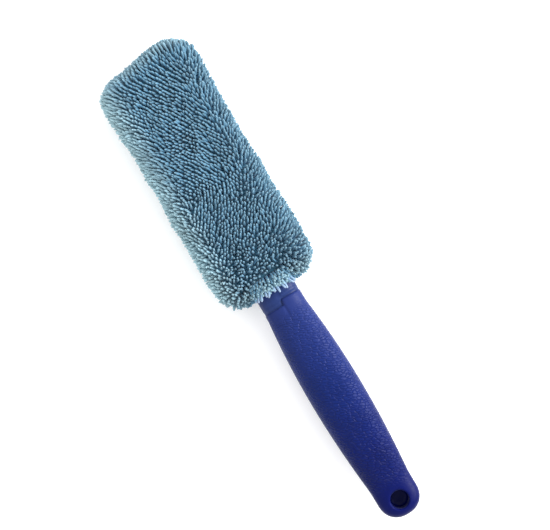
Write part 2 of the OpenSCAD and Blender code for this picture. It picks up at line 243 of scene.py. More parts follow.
class Shader:
    """Builds one procedural material. An output given to a method may also be a plain value."""

    def __init__(self, name, **values):
        self.material = bpy.data.materials.new(name)
        self.material.use_nodes = True
        self.nodes = self.material.node_tree.nodes
        self.links = self.material.node_tree.links
        self.surface = self.nodes["Principled BSDF"]
        self.place = self.nodes.new("ShaderNodeTexCoord").outputs["Object"]
        for socket, value in values.items():
            self.surface.inputs[socket.replace("_", " ")].default_value = value

    def plug(self, value, socket):
        """Links an output to a socket, or sets a plain value on it."""
        if isinstance(value, bpy.types.NodeSocket):
            self.links.new(value, socket)
        else:
            socket.default_value = value

    def node(self, kind, sockets=None, **settings):
        """A new node. sockets holds what goes into each socket, by its name or its number."""
        made = self.nodes.new(kind)
        for key, value in settings.items():
            setattr(made, key, value)
        for key, value in (sockets or {}).items():
            self.plug(value, made.inputs[key])
        return made

    def varied(self, base, shade, low, high):
        """A colour made darker and lighter by a shade: low and high are (shade, factor)."""
        return self.mix(1.0, base, self.steps(shade, [low, high]), "MULTIPLY")

    def stretched(self, scale):
        """The place, scaled along each axis."""
        return self.node("ShaderNodeMapping", {"Vector": self.place, "Scale": scale}).outputs["Vector"]

    def noise(self, size, detail=3.0, roughness=0.5, at=None):
        """Noise with features of about size metres."""
        return self.node("ShaderNodeTexNoise", {
            "Vector": at or self.place, "Scale": 1 / size, "Detail": detail,
            "Roughness": roughness}).outputs["Fac"]

    def cells(self, size, feature="F1", at=None):
        """Distances in a pattern of cells of about size metres."""
        made = self.node("ShaderNodeTexVoronoi", {"Vector": at or self.place, "Scale": 1 / size},
                         feature=feature)
        return made.outputs["Distance"]

    def waves(self, per_metre, direction, distortion, detail=2.0):
        """Parallel bands that run across a direction."""
        return self.node("ShaderNodeTexWave", {
            "Vector": self.place, "Scale": per_metre, "Distortion": distortion, "Detail": detail},
            bands_direction=direction).outputs["Fac"]

    def fade(self, value, low, high, start=0.0, end=1.0, kind="SMOOTHSTEP"):
        """Goes from start to end as the value goes from low to high."""
        return self.node("ShaderNodeMapRange", {
            "Value": value, "From Min": low, "From Max": high, "To Min": start, "To Max": end},
            interpolation_type=kind).outputs[0]

    def ramp(self, fac, stops):
        """A colour ramp: stops are (position, colour)."""
        made = self.node("ShaderNodeValToRGB", {"Fac": fac})
        ramp = made.color_ramp.elements
        while len(ramp) < len(stops):
            ramp.new(0.5)
        for element, (at, colour) in zip(ramp, stops):
            element.position = at
            element.color = (*colour, 1)
        return made.outputs["Color"]

    def steps(self, fac, stops):
        """A grey ramp: stops are (position, value)."""
        return self.ramp(fac, [(at, (v, v, v)) for at, v in stops])

    def maths(self, kind, a, b):
        """A sum, product or other operation on two values."""
        return self.node("ShaderNodeMath", {0: a, 1: b}, operation=kind).outputs[0]

    def mix(self, fac, a, b, kind="MIX"):
        """A blend of two colours."""
        a, b = ((*c, 1) if isinstance(c, tuple) else c for c in (a, b))
        return self.node("ShaderNodeMix", {0: fac, 6: a, 7: b}, data_type="RGBA", blend_type=kind).outputs[2]

    def attribute(self, name, channel):
        """One channel of a piece's colour layer."""
        made = self.node("ShaderNodeAttribute", attribute_name=name)
        return self.node("ShaderNodeSeparateColor", {"Color": made.outputs["Color"]}).outputs[channel]

    def axis(self, name):
        return self.node("ShaderNodeSeparateXYZ", {"Vector": self.place}).outputs[name]

    def colour(self, out):
        self.plug(out, self.surface.inputs["Base Color"])

    def rough(self, out):
        self.plug(out, self.surface.inputs["Roughness"])

    def bump(self, height, distance, strength=1.0):
        made = self.node("ShaderNodeBump", {"Height": height, "Distance": distance, "Strength": strength})
        self.plug(made.outputs["Normal"], self.surface.inputs["Normal"])
        return self.material


def chenille_material(name, shift, far):
    """Twisted microfibre loops: deep blue at the root, dusty blue above, paler at the tip as a painted
    highlight, and pale teal painted light at the sides. shift is how far a loop's tip has taken on the colour
    far."""
    s = Shader(name, Roughness=0.72, Sheen_Weight=0.18, Sheen_Roughness=0.5, Specular_IOR_Level=0.12)
    # Red is the height up a loop, Green its random lightness with painted shade mixed in, Blue its share of
    # pale teal painted light.
    height = s.attribute("tuft", "Red")
    own = s.attribute("tuft", "Green")
    side = s.attribute("tuft", "Blue")
    fibre = s.noise(0.55 * MM, 2.0)
    level = s.maths("ADD", height, s.maths("MULTIPLY", s.maths("SUBTRACT", fibre, 0.5), 0.22))
    # The pale top of this ramp is a painted highlight on the loops' tips.
    body = s.ramp(level, [
        (0.0, (0.042, 0.190, 0.340)), (0.34, (0.047, 0.168, 0.292)), (0.66, (0.058, 0.158, 0.250)),
        (0.90, (0.096, 0.203, 0.284)), (1.0, (0.156, 0.274, 0.352))])
    # Pale teal painted light on loops seen side-on.
    teal = s.mix(s.maths("MULTIPLY", side, 0.80), body, (0.420, 0.610, 0.650))
    patches = s.noise(17 * MM, 2.0)
    shade = s.maths("ADD", s.maths("MULTIPLY", own, 0.34), s.maths("MULTIPLY", patches, 0.5))
    varied = s.varied(teal, shade, (0.2, 0.78), (0.62, 1.14))
    s.colour(s.mix(s.maths("MULTIPLY", height, shift), varied, far))
    s.rough(s.steps(fibre, [(0.3, 0.62), (0.7, 0.82)]))
    return s.bump(fibre, 0.12 * MM, 0.5)


def cloth_material():
    """Knitted backing, dusty blue: fine wales and courses with lint."""
    s = Shader("backing_cloth", Roughness=0.9, Sheen_Weight=0.25, Sheen_Roughness=0.5)
    wales = s.waves(330.0, "X", 1.6, 1.0)
    courses = s.waves(290.0, "Y", 1.2, 1.0)
    knit = s.maths("MULTIPLY", wales, courses)
    lint = s.noise(4 * MM, 4.0)
    base = s.ramp(knit, [(0.0, (0.030, 0.130, 0.215)), (1.0, (0.075, 0.225, 0.330))])
    s.colour(s.varied(base, lint, (0.3, 0.75), (0.7, 1.2)))
    s.rough(s.steps(lint, [(0.3, 0.82), (0.7, 0.95)]))
    return s.bump(knit, 0.25 * MM, 0.7)


GRAIN_SLANT = math.radians(28)    # the grip's wrinkles run round it at this slant
GRAIN_STRETCH = (0.42, 1.1, 0.7)  # and are longer across than along
GRAIN_SIZE = 1.8 * MM


def grip_material():
    """Soft blue grip, its blue darkened towards the hanging end as painted shade: pebbled leather grain that
    fades out at the neck and at the hanging end.
    """
    s = Shader("grip_rubber", Roughness=0.45, Specular_IOR_Level=0.085, Sheen_Weight=0.05,
               Sheen_Roughness=0.35)
    turned = s.node("ShaderNodeMapping", {"Vector": s.place, "Rotation": (0, 0, GRAIN_SLANT)})
    across = s.node("ShaderNodeMapping", {"Vector": turned.outputs["Vector"], "Scale": GRAIN_STRETCH})
    across = across.outputs["Vector"]
    cells = s.cells(GRAIN_SIZE, at=across)
    creases = s.cells(GRAIN_SIZE, "DISTANCE_TO_EDGE", at=across)
    fine = s.noise(0.7 * MM, 3.0)
    grain = s.maths("ADD", s.steps(creases, [(0.0, 0.0), (0.16, 1.0)]), s.maths("MULTIPLY", fine, 0.45))
    grain = s.maths("SUBTRACT", grain, s.maths("MULTIPLY", cells, 0.35))
    along = s.axis("Y")
    front = s.fade(along, GRIP_HIGH.y - 18 * MM, GRIP_HIGH.y - 5 * MM, 1.0, 0.0)
    back = s.fade(along, GRIP_LOW.y + 16 * MM, GRIP_LOW.y + 34 * MM)
    grained = s.maths("MULTIPLY", front, back)
    blotch = s.noise(26 * MM, 3.0)
    # The base blue darkens from the rim to the hanging end: painted shade.
    ends = s.fade(along, GRIP_LOW.y, GRIP_HIGH.y, kind="LINEAR")
    base = s.ramp(ends, [(0.0, (0.0002, 0.0022, 0.058)), (0.3, (0.0004, 0.0042, 0.072)),
                         (0.6, (0.0028, 0.0108, 0.092)), (0.85, (0.0090, 0.0190, 0.112)),
                         (1.0, (0.0130, 0.0240, 0.116))])
    worn = s.mix(s.maths("MULTIPLY", grained, s.maths("MULTIPLY", grain, 0.10)), base, (0.012, 0.03, 0.14))
    s.colour(s.varied(worn, blotch, (0.3, 0.9), (0.7, 1.1)))
    s.rough(s.steps(grain, [(0.2, 0.50), (1.1, 0.36)]))
    return s.bump(s.maths("MULTIPLY", grain, grained), 0.32 * MM, 1.0)


def neck_material():
    """Smooth blue plastic with a slight orange-peel and handling marks."""
    s = Shader("neck_plastic", Roughness=0.34, Specular_IOR_Level=0.13)
    marks = s.noise(5 * MM, 4.0, 0.6, s.stretched((1, 0.25, 1)))
    peel = s.noise(1.6 * MM, 2.0)
    s.colour(s.ramp(marks, [(0.3, (0.0085, 0.0195, 0.090)), (0.7, (0.0130, 0.028, 0.112))]))
    s.rough(s.steps(marks, [(0.3, 0.30), (0.7, 0.44)]))
    return s.bump(peel, 0.05 * MM, 0.4)


def foam_material():
    """Open-cell foam: grey with small pores."""
    s = Shader("foam", Roughness=0.95, Specular_IOR_Level=0.2)
    pores = s.cells(0.9 * MM)
    coarse = s.noise(2.2 * MM, 4.0)
    dust = s.noise(22 * MM, 3.0)
    base = s.ramp(pores, [(0.15, (0.10, 0.105, 0.105)), (0.5, (0.25, 0.26, 0.26))])
    s.colour(s.varied(base, dust, (0.3, 0.86), (0.7, 1.05)))
    s.rough(s.steps(coarse, [(0.3, 0.9), (0.7, 1.0)]))
    return s.bump(s.maths("ADD", s.steps(pores, [(0.1, 0.0), (0.5, 1.0)]), coarse), 0.35 * MM, 0.8)


def plastic_material(name, dark, light, rough, flow):
    """A moulding with flow marks, stretched by flow: the core, the blade and the bumper."""
    s = Shader(name, Roughness=rough)
    flow_marks = s.noise(6 * MM, 4.0, 0.55, s.stretched(flow))
    grain = s.noise(0.4 * MM, 2.0)
    s.colour(s.ramp(flow_marks, [(0.3, dark), (0.7, light)]))
    s.rough(s.steps(flow_marks, [(0.3, rough - 0.07), (0.7, rough + 0.08)]))
    return s.bump(grain, 0.04 * MM, 0.35)


def tape_material():
    """Tissue tape: fibres laid every way in a yellowish glue."""
    s = Shader("tape", Roughness=0.55)
    fibres = s.noise(1.2 * MM, 4.0, 0.7, s.stretched((3, 0.6, 1)))
    s.colour(s.ramp(fibres, [(0.3, (0.26, 0.21, 0.12)), (0.7, (0.42, 0.37, 0.24))]))
    s.rough(s.steps(fibres, [(0.3, 0.4), (0.7, 0.7)]))
    return s.bump(fibres, 0.05 * MM, 0.4)


def steel_material():
    """Drawn steel wire with fine lengthwise scratches."""
    s = Shader("pin_steel", Metallic=1.0, Roughness=0.3)
    scratches = s.noise(0.5 * MM, 3.0, 0.6, s.stretched((1, 1, 0.08)))
    s.colour(s.ramp(scratches, [(0.3, (0.42, 0.42, 0.43)), (0.7, (0.66, 0.66, 0.67))]))
    s.rough(s.steps(scratches, [(0.3, 0.22), (0.7, 0.42)]))
    return s.bump(scratches, 0.02 * MM, 0.4)


def thread_material(name, dark, light, pitch):
    """Spun thread or woven elastic: fine diagonal plies."""
    s = Shader(name, Roughness=0.8, Sheen_Weight=0.2)
    plies = s.waves(1 / pitch, "DIAGONAL", 1.0)
    s.colour(s.ramp(plies, [(0.0, dark), (1.0, light)]))
    s.rough(s.steps(s.noise(2 * MM), [(0.3, 0.72), (0.7, 0.88)]))
    return s.bump(plies, 0.1 * MM, 0.6)


def floor_material():
    """White matt paper, lit a little from within, with the faintest mottling."""
    s = Shader("floor", Roughness=0.9, Specular_IOR_Level=0.1, Emission_Color=(1, 1, 1, 1),
               Emission_Strength=0.10)
    s.colour(s.ramp(s.noise(0.4, 2.0), [(0.3, (0.96, 0.96, 0.96)), (0.7, (0.98, 0.98, 0.98))]))
    s.rough(s.steps(s.noise(0.1), [(0.3, 0.88), (0.7, 0.92)]))
    return s.material


CHENILLE = chenille_material("chenille", 0.0, (0.2, 0.3, 0.4))
FRINGE = chenille_material("chenille_fringe", 0.50, (0.40, 0.46, 0.66))
# The mouth's short loops darken towards their tips: painted shade.
MOUTH = chenille_material("chenille_mouth", 0.62, (0.048, 0.130, 0.200))
CLOTH = cloth_material()
GRIP = grip_material()
NECK = neck_material()
FOAM = foam_material()
CORE = plastic_material("core_plastic", (0.42, 0.43, 0.41), (0.55, 0.56, 0.54), 0.42, (1, 0.2, 1))
BLADE = plastic_material("blade_plastic", (0.40, 0.42, 0.43), (0.52, 0.54, 0.54), 0.5, (1, 0.15, 1))
BUMPER = plastic_material("bumper_rubber", (0.012, 0.013, 0.014), (0.03, 0.031, 0.033), 0.62, (1, 0.3, 1))
TAPE = tape_material()
STEEL = steel_material()
THREAD = thread_material("thread", (0.26, 0.36, 0.42), (0.52, 0.62, 0.68), 0.5 * MM)
ELASTIC = thread_material("elastic", (0.36, 0.42, 0.46), (0.62, 0.68, 0.72), 0.9 * MM)


def dress(node, material):
    """Gives a CAD node its material."""
    mesh = frame["nodes"][node].data
    mesh.materials.clear()
    mesh.materials.append(material)


def finish_piece(obj, body, material, slot, *nodes):
    """Paints a piece, rides it on its body and lets it stand for CAD nodes."""
    obj.data.materials.clear()
    obj.data.materials.append(material)
    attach(obj, body)
    if nodes:
        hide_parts(*nodes)


# ---------------------------------------------------------------- pile

TUFT_SIDES = 8
TUFT_LEVELS = np.array([0.0, 0.14, 0.34, 0.56, 0.76, 0.90, 0.975])  # heights of a loop's rings
TUFT_GIRTH = np.array([0.90, 0.94, 1.00, 1.04, 1.00, 0.82, 0.48])  # and their share of its radius
TUFT_R = 0.74 * MM
TUFT_PITCH = 2.62 * MM                # between loops along a row
ROW_PITCH = 2.12 * MM                 # between rows
SPACED_AT = 0.45                      # the height in the pile where the pitches are measured
JITTER = 0.07                         # how far loops stray along a row, in pitches
ROW_JITTER = 0.08                     # and across it
TURN_JITTER = 0.02                    # and in angle at the head's ends, in radians
LOBE = 0.16                           # depth of the groove between a loop's two strands
TWIST = 2.2                           # half turns of the strands over a loop's height
STEEPEST = 0.82                       # the sine of the furthest that a loop leans
BEND_RISE = 0.62                      # how high up a loop its bend is
BEND_LEAN = 0.18                      # and how far it leans there, as a share
ASKEW = np.array([0.31, 0.87, 0.38])  # a direction that no loop stands along
PILE_ROOT = 0.5 * MM                  # how deep the loops are rooted in the cloth
FEWEST = 6                            # loops in the shortest row


def tuft_sites(half):
    """Where loops stand on one half of the head: their slab points and directions. half is 1 or -1."""
    mid_r = CLOTH_R + SPACED_AT * PILE_LEN
    end_rows = int(round(mid_r * math.pi / 2 / ROW_PITCH))
    run_rows = int(round((SLAB_HIGH - SLAB_LOW) / ROW_PITCH))
    last = 90 - 90 / end_rows / 2
    bases, directions = [], []
    for k, (y, end) in enumerate(head_stations(-last, last, run_rows, end_rows)):
        arc = mid_r * math.cos(end) * math.pi / 2
        flat = 2 * SLAB_W
        length = 2 * arc + flat
        count = max(int(round(length / TUFT_PITCH)), FEWEST)
        run = (np.arange(count) + (0.25 if k % 2 else 0.75)) / count * length
        run += RANDOM.normal(0, JITTER, count) * TUFT_PITCH
        turned = np.where(run < arc, run, np.where(run > arc + flat, run - flat, arc))
        around = turned / arc * math.pi / 2
        x = np.clip(SLAB_W - (run - arc), -SLAB_W, SLAB_W)
        along = end + RANDOM.normal(0, TURN_JITTER, count) * (abs(end) > 0)
        shift = RANDOM.normal(0, ROW_JITTER, count) * ROW_PITCH
        bases.append(np.stack([x, np.full(count, y) + shift, np.full(count, SLAB_H)], -1))
        directions.append(head_directions(along, around))
    base, direction = np.concatenate(bases), np.concatenate(directions)
    base[:, 2] *= half
    direction[:, 2] *= half
    return base, direction


# How the pile is brushed, as sines of the lean towards +X, +Y and away from the middle plane
UPPER_LEAN = (-0.26, 0.40)  # on the head's upper part
LOWER_LEAN = (0.20, 0.34)   # on its lower part
SIDE_LEAN = (0.42, 0.22)    # outwards at its sides
TIP_LEAN = (0.20, 0.30)     # at its tip, where it also fans out
HEM_LEAN = (-0.30, 0.45)    # back and up at the shoulder
TIP_FAN = 0.50
HEM_FAN = 0.15


def lean_field(at, half):
    """How the pile is brushed at each point: a vector whose part along the cloth is the lean's sine. Places
    are shares: x of the head's half width, y of the slab's length."""
    x, y = at[:, 0] / PILE_HIGH.x, (at[:, 1] - SLAB_LOW) / (SLAB_HIGH - SLAB_LOW)
    upper = smooth(y, 0.30, 0.58)
    outward = smooth(np.abs(x), 0.40, 0.98)
    tip = smooth(y, 0.90, 1.05)
    hem = 1 - smooth(y, -0.06, 0.20)
    lean = np.zeros_like(at)
    lean[:, 0] = UPPER_LEAN[0] * upper + LOWER_LEAN[0] * (1 - upper)
    lean[:, 1] = UPPER_LEAN[1] * upper + LOWER_LEAN[1] * (1 - upper)
    lean[:, 0] += SIDE_LEAN[0] * np.sign(x) * outward
    lean[:, 1] += SIDE_LEAN[1] * outward * smooth(y, 0.2, 0.6)
    lean[:, 0] += tip * (TIP_FAN * x + TIP_LEAN[0])
    lean[:, 1] += tip * TIP_LEAN[1]
    lean[:, 0] += hem * HEM_FAN * x
    lean[:, 1] += hem * HEM_LEAN[0] * (1 - 0.7 * outward)
    lean[:, 2] += hem * HEM_LEAN[1] * half
    lean[:, 0] += 0.11 * waves(at, 34 * MM, 21 + half) + 0.07 * waves(at, 12 * MM, 31 + half)
    lean[:, 1] += 0.10 * waves(at, 30 * MM, 41 + half) + 0.07 * waves(at, 11 * MM, 51 + half)
    rough = 0.06 + 0.11 * np.maximum(outward, hem)
    lean[:, :2] += RANDOM.normal(0, 1, (len(at), 2)) * rough[:, None]
    return lean


GIVE = 1.2 * MM  # how deep the pile is pressed where the brush lies on it


def settled(points):
    """Presses the pile flat where it would sink into what the brush lies on."""
    sunk = np.maximum(GIVE - points[:, 2], 0)
    out = points.copy()
    out[:, 2] = np.where(sunk > 0, GIVE * np.exp(-sunk / GIVE), points[:, 2])
    return out


def unit(v):
    """Vectors made 1 long."""
    return v / np.maximum(np.linalg.norm(v, axis=-1, keepdims=True), 1e-12)


def tuft_mesh(name, root, normal, lean, length, girth, tone_and_painted_shade, side):
    """One object of many loops: bent, twisted two-strand fingers with round tips. Its colour layer holds the
    height up a loop, the loop's random lightness with painted shade mixed in, and its share of pale teal
    painted light."""
    count, rings, sides = len(root), len(TUFT_LEVELS), TUFT_SIDES
    tangent = lean - normal * (lean * normal).sum(-1, keepdims=True)
    size = np.linalg.norm(tangent, axis=-1, keepdims=True)
    tangent *= np.minimum(1, STEEPEST / np.maximum(size, 1e-9))
    sine = np.minimum(size, STEEPEST)
    end = root + (normal * np.sqrt(1 - sine ** 2) + tangent) * length[:, None]
    middle = root + (normal * BEND_RISE + tangent * BEND_LEAN) * length[:, None]
    v = TUFT_LEVELS[None, :, None]
    path = (1 - v) ** 2 * root[:, None] + 2 * v * (1 - v) * middle[:, None] + v ** 2 * end[:, None]
    way = unit(2 * (1 - v) * (middle - root)[:, None] + 2 * v * (end - middle)[:, None])
    reference = unit(np.cross(normal, ASKEW))
    across = unit(reference[:, None] - way * (reference[:, None] * way).sum(-1, keepdims=True))
    up = np.cross(way, across)
    angle = np.arange(sides) / sides * 2 * math.pi
    turn = RANDOM.uniform(0, 2 * math.pi, count)
    lobes = 1 + LOBE * np.cos(2 * angle[None, None, :] - turn[:, None, None]
                              - TWIST * math.pi * TUFT_LEVELS[None, :, None])
    radius = girth[:, None, None] * TUFT_GIRTH[None, :, None] * lobes
    points = (path[:, :, None] + across[:, :, None] * (radius * np.cos(angle))[..., None]
              + up[:, :, None] * (radius * np.sin(angle))[..., None])
    per = rings * sides + 2
    everything = np.concatenate([points.reshape(count, rings * sides, 3), np.stack([root, end], 1)], 1)
    everything = settled(everything.reshape(-1, 3))
    quads = ring_faces(rings, sides)
    i = np.arange(sides)
    j = (i + 1) % sides
    bottom = np.stack([j, i, np.full(sides, rings * sides)], -1)
    top = np.stack([(rings - 1) * sides + i, (rings - 1) * sides + j, np.full(sides, rings * sides + 1)], -1)
    offset = (np.arange(count) * per)[:, None, None]
    caps = np.concatenate([bottom, top])
    obj = mesh_object(name, everything, [(quads[None] + offset).reshape(-1, 4),
                                         (caps[None] + offset).reshape(-1, 3)])
    height = np.concatenate([np.repeat(TUFT_LEVELS, sides), [0.0, 1.0]])
    colour = np.ones((count, per, 4), np.float32)
    colour[..., 0] = height[None]
    colour[..., 1] = tone_and_painted_shade[:, None]
    colour[..., 2] = side[:, None]
    layer = obj.data.color_attributes.new("tuft", "FLOAT_COLOR", "POINT")
    layer.data.foreach_set("color", colour.ravel())
    grid_uv(obj, count, per)
    return obj


UV_MARGIN = 0.08  # clear border round each loop's cell of the baking map
UV_CAP = 0.06     # how far past a loop's ends its caps are laid out


def grid_uv(obj, count, per):
    """Gives each loop its own cell of the baking map: round the loop across, root to tip upwards."""
    cells = math.ceil(math.sqrt(count))
    mesh = obj.data
    corners = np.empty(len(mesh.loops), np.int32)
    mesh.loops.foreach_get("vertex_index", corners)
    tuft, place = corners // per, corners % per
    ring_total = len(TUFT_LEVELS) * TUFT_SIDES
    around = np.where(place < ring_total, place % TUFT_SIDES, TUFT_SIDES / 2) / TUFT_SIDES
    levels = np.concatenate([np.repeat(TUFT_LEVELS, TUFT_SIDES), [-UV_CAP, 1 + UV_CAP]])
    starts = np.empty(len(mesh.polygons), np.int32)
    mesh.polygons.foreach_get("loop_start", starts)
    totals = np.empty(len(mesh.polygons), np.int32)
    mesh.polygons.foreach_get("loop_total", totals)
    face = np.repeat(np.arange(len(starts)), totals)
    widest = np.maximum.reduceat(np.where(place < ring_total, around, 0), starts)[face]
    wraps = (widest > 0.8) & (around == 0) & (place < ring_total)
    inside = 1 - 2 * UV_MARGIN
    u = UV_MARGIN + (around + wraps) * inside
    v = UV_MARGIN + (levels[place] + UV_MARGIN) / (1 + 2 * UV_MARGIN) * inside
    uv = np.stack([(tuft % cells + u) / cells, (tuft // cells + v) / cells], -1)
    layer = mesh.uv_layers.new(name="OFBake")
    layer.data.foreach_set("uv", uv.astype(np.float32).ravel())


def neck_height(x, gap):
    """Half height of the neck's oval, grown by gap, at each x; negative beyond its sides."""
    share = np.abs(x) / (NECK_W / 2 + gap)
    rise = (NECK_T / 2 + gap) * np.clip(1 - share ** OVAL_POWER, 0, 1) ** (1 / OVAL_POWER)
    return np.where(share < 1, rise, -1.0)


def carried_over_neck(root, direction, half):
    """Lifts the loops of the shoulder that would stand inside the neck on to the hem's outside."""
    height = half * (root[:, 2] - MID_Z)
    clear = neck_height(root[:, 0], HEM_OUT)
    lift = smooth(-direction[:, 1], 0.05, 0.62) * smooth(clear - height, 0, 1.5 * MM)
    out = root.copy()
    out[:, 2] = MID_Z + half * (height + lift * np.maximum(clear - height, 0))
    return out, lift


# Pale teal painted light on loops seen side-on: strongest at the head's left side, with some at the shoulder
# and the tip.
LEFT_PAINTED_LIGHT = 1.0    # how much pale teal painted light the pile takes at the head's left side
RIGHT_PAINTED_LIGHT = 0.10  # and elsewhere
SHOULDER_PAINTED_LIGHT = 0.40
TIP_PAINTED_LIGHT = 0.34
SEAM_CROSS = 0.40  # how far the loops by the seam lean across it


def make_pile(label, half, nodes):
    """The loops of one face of the head, as a few pieces along its length."""
    base, direction = tuft_sites(half)
    root = head_shape(base + direction * (CLOTH_R - PILE_ROOT), direction)
    root, lift = carried_over_neck(root, direction, half)
    buried = half * (root[:, 2] - MID_Z) < neck_height(root[:, 0], HEM_OUT - CLOTH_T)
    keep = ~(buried & (direction[:, 1] < -0.2))
    base, direction, root, lift = base[keep], direction[keep], root[keep], lift[keep]
    across, towards_tip, towards_face = np.abs(direction[:, 0]), direction[:, 1], half * direction[:, 2]
    # side: the share of pale teal painted light, strong on the left, weak on the right, with some at the
    # shoulder and the tip.
    side = np.where(root[:, 0] < 0, LEFT_PAINTED_LIGHT, RIGHT_PAINTED_LIGHT)
    side *= smooth(np.abs(root[:, 0]) / PILE_HIGH.x, 0.42, 0.92)
    side = np.maximum(side, SHOULDER_PAINTED_LIGHT * smooth(-towards_tip, 0.1, 0.9))
    side = np.maximum(side, TIP_PAINTED_LIGHT * smooth(towards_tip, 0.0, 0.6))
    lean = lean_field(base + direction * CLOTH_R, half)
    lean *= (1 - 0.45 * smooth(across, 0.5, 0.95))[:, None]
    lean[:, 2] += RANDOM.normal(0, 0.10, len(lean)) * across
    lean[:, 2] -= SEAM_CROSS * half * (1 - smooth(towards_face, 0.0, 0.4))
    length = (PILE_LEN + PILE_ROOT) * RANDOM.normal(1.0, 0.05, len(root))
    length *= 1 - 0.12 * lift - 0.18 * smooth(towards_tip, 0.3, 0.9)
    shoulder = smooth(-towards_tip, 0.0, 0.5)
    corner = smooth(across, 0.4, 0.8) * bell(root[:, 1] - SLAB_LOW - 3 * MM, 6 * MM)
    girth = TUFT_R * RANDOM.normal(1.0, 0.07, len(root)) * (1 + 0.14 * shoulder) * (1 + 0.25 * corner)
    # Each loop's random lightness, with painted shade on the head's right side and at the shoulder.
    tone_and_painted_shade = RANDOM.uniform(0, 1, len(root)) * (1 - 0.8 * smooth(root[:, 0], 0, 0.8 * PILE_HIGH.x))
    tone_and_painted_shade *= 1 - 0.9 * shoulder
    _, lower_end, middle_end, _ = np.linspace(SLAB_LOW, PILE_HIGH.y, 4)
    y = root[:, 1]
    parts = {"tip": y > middle_end, "middle": (y <= middle_end) & (y > lower_end),
             "lower": (y <= lower_end) & (towards_tip >= -0.05), "shoulder": towards_tip < -0.05}
    stands_for = {"middle": nodes[:1], "shoulder": nodes[1:]}
    for part, mask in parts.items():
        obj = tuft_mesh(f"pile_{label}_{part}", root[mask], direction[mask], lean[mask], length[mask],
                        girth[mask], tone_and_painted_shade[mask], side[mask])
        finish_piece(obj, "cover", CHENILLE, "chenille", *stands_for.get(part, ()))


SHORT_GIRTH = 0.72 * MM  # radius of the fringe's short loops
LONG_GIRTH = 0.85 * MM   # and of its long ones
SIDE_ROWS = 3            # rows of fringe at each side of the mouth
SIDE_PITCH = 1.9 * MM


def fringe_row(name, half, count, length, back, gap, girth, droop, material):
    """A row of loops round the cover's mouth. back is how far they are rooted from the hem's inner edge
    towards the grip, gap is how far off the neck, and droop goes from 0, standing, to 1, hanging."""
    x = np.linspace(-0.45, 0.45, count) * NECK_W + RANDOM.normal(0, 0.4 * MM, count)
    still = np.zeros(count)
    root = np.stack([x, np.full(count, HEM_HIGH.y - back), MID_Z + half * neck_height(x, gap)], -1)
    rise = np.full(count, half * (1.0 - 0.65 * droop))
    normal = unit(np.stack([x / NECK_W * 0.8, np.full(count, -0.4 - 0.9 * droop), rise], -1))
    lean = np.stack([x / NECK_W * 0.2 + RANDOM.normal(-0.05, 0.14, count), still,
                     np.full(count, -0.42 * half * droop)], -1)
    # Their random lightness is held low: painted shade that darkens these rows.
    obj = tuft_mesh(name, root, normal, lean, length * RANDOM.normal(1, 0.08, count), np.full(count, girth),
                    RANDOM.uniform(0.0, 0.4, count), still + 0.1)
    finish_piece(obj, "cover", material, "chenille")


def side_fringe(name, half, count, length, back):
    """Short loops round the left and right of the cover's mouth, count on each side. back is as above."""
    angle = np.radians(np.tile(np.linspace(4, 60, count), 2))
    way = np.repeat([1.0, -1.0], count)
    x = way * (NECK_W / 2 + HEM_OUT) * np.cos(angle) ** (2 / OVAL_POWER)
    z = half * (NECK_T / 2 + HEM_OUT) * np.sin(angle) ** (2 / OVAL_POWER)
    root = np.stack([x, np.full(2 * count, HEM_HIGH.y - back), MID_Z + z], -1)
    normal = unit(np.stack([way * np.cos(angle), np.full(2 * count, -0.7), half * np.sin(angle)], -1))
    lean = RANDOM.normal(0, 0.12, (2 * count, 3))
    # Their random lightness is held low here too: painted shade.
    obj = tuft_mesh(name, root, normal, lean, length * RANDOM.normal(1, 0.08, 2 * count),
                    np.full(2 * count, SHORT_GIRTH), RANDOM.uniform(0.0, 0.4, 2 * count),
                    np.full(2 * count, 0.1))
    finish_piece(obj, "cover", MOUTH, "chenille")


def make_fringe(label, half):
    """The long pale loops that hang over the neck from the cover's mouth, and the short ones behind and
    beside them."""
    rows = (("", 11, 7.6, 0.4, 5.2, LONG_GIRTH, 1.0, FRINGE),
            ("under_", 13, 4.8, -1.4, 5.6, SHORT_GIRTH, 0.8, MOUTH),
            ("root_", 14, 5.2, -3.4, 5.4, SHORT_GIRTH, 0.5, MOUTH),
            ("top_", 14, 5.6, -5.4, 5.0, SHORT_GIRTH, 0.2, MOUTH))
    for name, count, length, back, gap, girth, droop, material in rows:
        fringe_row(f"fringe_{name}{label}", half, count, length * MM, back * MM, gap * MM, girth, droop,
                   material)
    for k in range(SIDE_ROWS):
        back = (SIDE_ROWS - 1 - k) * SIDE_PITCH
        side_fringe(f"fringe_side_{label}_{k + 1}", half, 7, 4.4 * MM, back)


# ---------------------------------------------------------------- cloth and foam

def full_layer(radius, stations, around_steps, flat_steps):
    """Closed rings all round the head at one radius: its front half, then the same below."""
    quarter = np.linspace(0, math.pi / 2, around_steps)
    angle = np.concatenate([quarter, np.full(flat_steps, math.pi / 2), math.pi - quarter[::-1]])
    flat = np.linspace(SLAB_W, -SLAB_W, flat_steps + 2)[1:-1]
    x = np.concatenate([np.full(around_steps, SLAB_W), flat, np.full(around_steps, -SLAB_W)])
    directions = np.array([head_directions(end, angle) for _, end in stations])
    base = np.array([np.stack([x, np.full_like(x, y), np.full_like(x, SLAB_H)], -1) for y, _ in stations])
    rows = base + radius * directions
    below = [1, 1, -1]
    return head_shape(np.concatenate([rows, rows[:, ::-1] * below], 1),
                      np.concatenate([directions, directions[:, ::-1] * below], 1))


MOUTH_GAP_X = 1.2 * MM  # between the neck and the cloth at the cover's mouth
MOUTH_GAP_Z = 0.9 * MM


